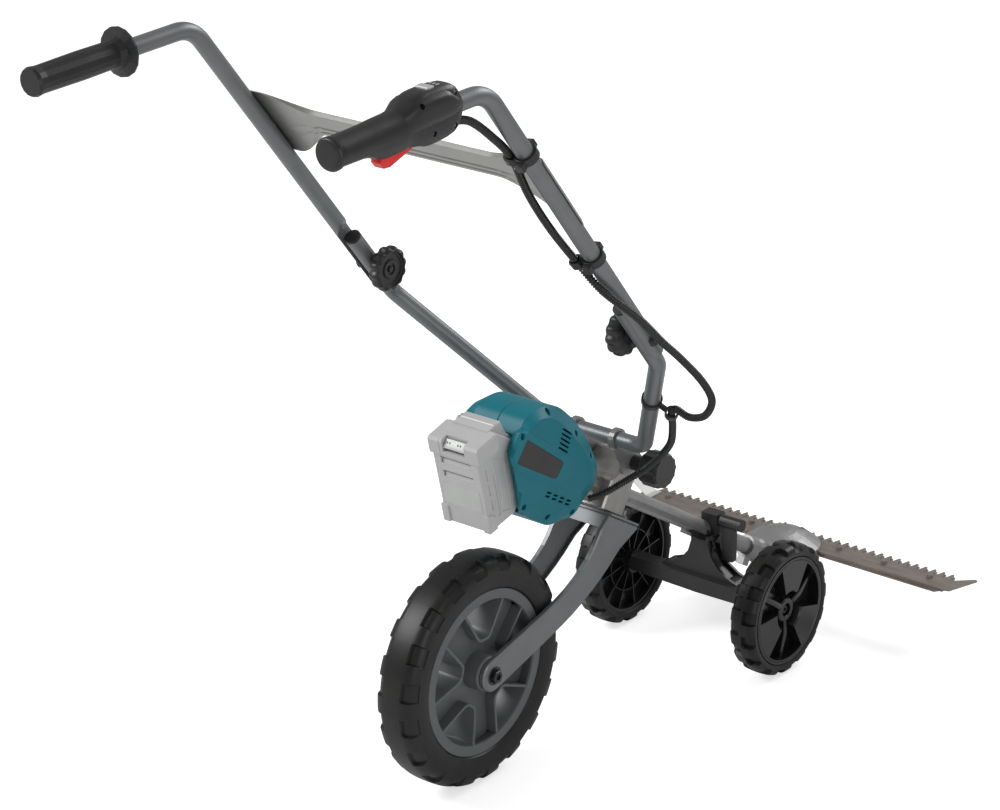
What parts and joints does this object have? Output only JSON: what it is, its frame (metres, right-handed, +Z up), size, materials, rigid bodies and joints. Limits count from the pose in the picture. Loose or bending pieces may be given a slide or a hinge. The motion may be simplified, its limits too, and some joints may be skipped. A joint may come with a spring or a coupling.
{
  "type": "cordless lawn mower",
  "caption": "Walk-behind cordless mower with a toothed cutter bar, bevel-geared drive pipe, folding twin-tube handle, lugged rear wheel and small front wheels.",
  "frame": {"origin": "On the ground, midway between the rear ends of the grips and the front of the cutter bar's end hooks, on the machine's middle plane.", "axes": "+X to the machine's right as its user sees it, +Y forward to the cutter bar, +Z up."},
  "size_m": [0.577, 1.2606, 1.0338],
  "materials": {
    "silver_paint": "satin silver-grey paint",
    "brace_metal": "satin grey metallic paint",
    "cast_grey": "grey metallic paint",
    "bright_cast": "cast aluminium",
    "teal_plastic": "moulded, fine texture",
    "battery_plastic": "moulded, light grey",
    "black_plastic": "moulded, dark grey",
    "grip_rubber": "soft grip",
    "tyre_rubber": "matt black",
    "rim_plastic": "moulded, dark grey",
    "front_rim_plastic": "moulded, black",
    "red_plastic": "moulded, red",
    "pale_plastic": "moulded, pale grey",
    "blade_steel": "hardened steel, brown-grey",
    "bright_steel": "zinc plated",
    "copper": "copper winding and steel core",
    "board_green": "circuit board in potting",
    "cable_black": "corrugated sleeve"
  },
  "bodies": {
    "chassis": {"motor_housing_left": "teal_plastic", "motor_housing_right": "teal_plastic", "battery_dock": "black_plastic", "motor_stator": "copper", "controller": "board_green", "rear_bearing": "bright_steel", "front_bearing": "bright_steel", "pipe_flange": "bright_cast", "drive_pipe": "cast_grey", "handle_clamp": "bright_cast", "fork_plate": "silver_paint", "fork_arm_left": "silver_paint", "fork_arm_right": "silver_paint", "rear_axle": "black_plastic", "gear_case": "cast_grey", "guide_comb": "blade_steel", "blade_keeper": "blade_steel", "divider_plate": "pale_plastic"},
    "drive_train": {"motor_rotor": "bright_steel", "cooling_fan": "black_plastic", "drive_shaft": "bright_steel", "bevel_pinion": "bright_steel"},
    "crank": {"crank_gear": "bright_steel"},
    "blade": {"cutter_blade": "blade_steel"},
    "battery": {"battery_case": "battery_plastic"},
    "battery_button": {"battery_release_button": "pale_plastic"},
    "rear_wheel": {"rear_rim": "rim_plastic", "rear_tyre": "tyre_rubber"},
    "handle_lower": {"lower_handle": "silver_paint", "gusset_left": "cast_grey", "gusset_right": "cast_grey", "tube_plug_left": "black_plastic", "tube_plug_right": "black_plastic", "cable_clip_lower": "black_plastic", "control_cable": "cable_black"},
    "tilt_clamp": {"tilt_knob": "black_plastic", "tilt_bolt": "bright_steel"},
    "handle_upper": {"upper_handle_left": "silver_paint", "upper_handle_right": "silver_paint", "cross_brace": "brace_metal", "left_grip": "grip_rubber", "switch_housing_left": "black_plastic", "switch_housing_right": "black_plastic", "cable_clip_top": "black_plastic", "cable_clip_middle": "black_plastic", "handle_bolt_left": "black_plastic", "handle_bolt_right": "black_plastic"},
    "left_fold_knob": {"handle_knob_left": "black_plastic"},
    "right_fold_knob": {"handle_knob_right": "black_plastic"},
    "trigger": {"trigger": "red_plastic"},
    "power_switch": {"power_button": "pale_plastic"},
    "front_carrier": {"front_bracket": "black_plastic", "front_axle": "bright_steel"},
    "clamp_lever": {"clamp_lever": "black_plastic"},
    "front_wheel_left": {"front_left_wheel": "front_rim_plastic", "front_left_tyre": "tyre_rubber"},
    "front_wheel_right": {"front_right_wheel": "front_rim_plastic", "front_right_tyre": "tyre_rubber"}
  },
  "joints": [
    {"name": "rear_wheel_spin", "type": "hinge", "parent": "chassis", "child": "rear_wheel", "pos_m": [0, -0.14362, 0.155], "axis": [1, 0, 0], "continuous": true},
    {"name": "motor_spin", "type": "hinge", "parent": "chassis", "child": "drive_train", "pos_m": [0, -0.02361, 0.4079], "axis": [0, 0.8572, -0.515], "continuous": true},
    {"name": "crank_spin", "type": "hinge", "parent": "chassis", "child": "crank", "pos_m": [0, 0.56038, 0.1], "axis": [0, 0, 1], "continuous": true},
    {"name": "blade_stroke", "type": "slide", "parent": "chassis", "child": "blade", "axis": [1, 0, 0], "range_m": [-0.0074, 0.0074]},
    {"name": "battery_lift", "type": "slide", "parent": "chassis", "child": "battery", "axis": [0, -0.2419, 0.9703], "range_m": [0, 0.13]},
    {"name": "battery_release", "type": "slide", "parent": "battery", "child": "battery_button", "axis": [0, 0.2419, -0.9703], "range_m": [0, 0.005], "stiffness_N_per_m": 500, "springref_m": -0.002},
    {"name": "handle_tilt", "type": "hinge", "parent": "chassis", "child": "handle_lower", "pos_m": [0, 0.15797, 0.34896], "axis": [1, 0, 0], "range_deg": [-30, 8], "deforming": ["control_cable"]},
    {"name": "tilt_knob_turn", "type": "hinge", "parent": "chassis", "child": "tilt_clamp", "pos_m": [0.06, 0.15797, 0.34896], "axis": [1, 0, 0], "continuous": true},
    {"name": "handle_fold", "type": "hinge", "parent": "handle_lower", "child": "handle_upper", "pos_m": [0, -0.07579, 0.63448], "axis": [1, 0, 0], "range_deg": [-165, 0], "deforming": ["control_cable"]},
    {"name": "left_fold_knob_turn", "type": "hinge", "parent": "handle_lower", "child": "left_fold_knob", "pos_m": [-0.19, -0.07579, 0.63448], "axis": [1, 0, 0], "continuous": true},
    {"name": "right_fold_knob_turn", "type": "hinge", "parent": "handle_lower", "child": "right_fold_knob", "pos_m": [0.19, -0.07579, 0.63448], "axis": [1, 0, 0], "continuous": true},
    {"name": "trigger_squeeze", "type": "hinge", "parent": "handle_upper", "child": "trigger", "pos_m": [0.222, -0.49716, 0.98054], "axis": [1, 0, 0], "range_deg": [-10, 0], "stiffness_Nm_per_rad": 1, "springref_deg": 11.46},
    {"name": "power_press", "type": "slide", "parent": "handle_upper", "child": "power_switch", "axis": [0, 0.0471, -0.9989], "range_m": [0, 0.0015], "stiffness_N_per_m": 800, "springref_m": -0.001},
    {"name": "front_carrier_slide", "type": "slide", "parent": "chassis", "child": "front_carrier", "axis": [0, 0.8572, -0.515], "range_m": [-0.08, 0.045]},
    {"name": "clamp_lever_turn", "type": "hinge", "parent": "front_carrier", "child": "clamp_lever", "pos_m": [0.024, 0.37638, 0.189], "axis": [1, 0, 0], "range_deg": [0, 100]},
    {"name": "front_left_spin", "type": "hinge", "parent": "front_carrier", "child": "front_wheel_left", "pos_m": [-0.1335, 0.35938, 0.094], "axis": [1, 0, 0], "continuous": true},
    {"name": "front_right_spin", "type": "hinge", "parent": "front_carrier", "child": "front_wheel_right", "pos_m": [0.1335, 0.35938, 0.094], "axis": [1, 0, 0], "continuous": true}
  ],
  "couplings": [
    {"joint": "crank_spin", "follows": "motor_spin", "ratio": 0.44444}
  ]
}
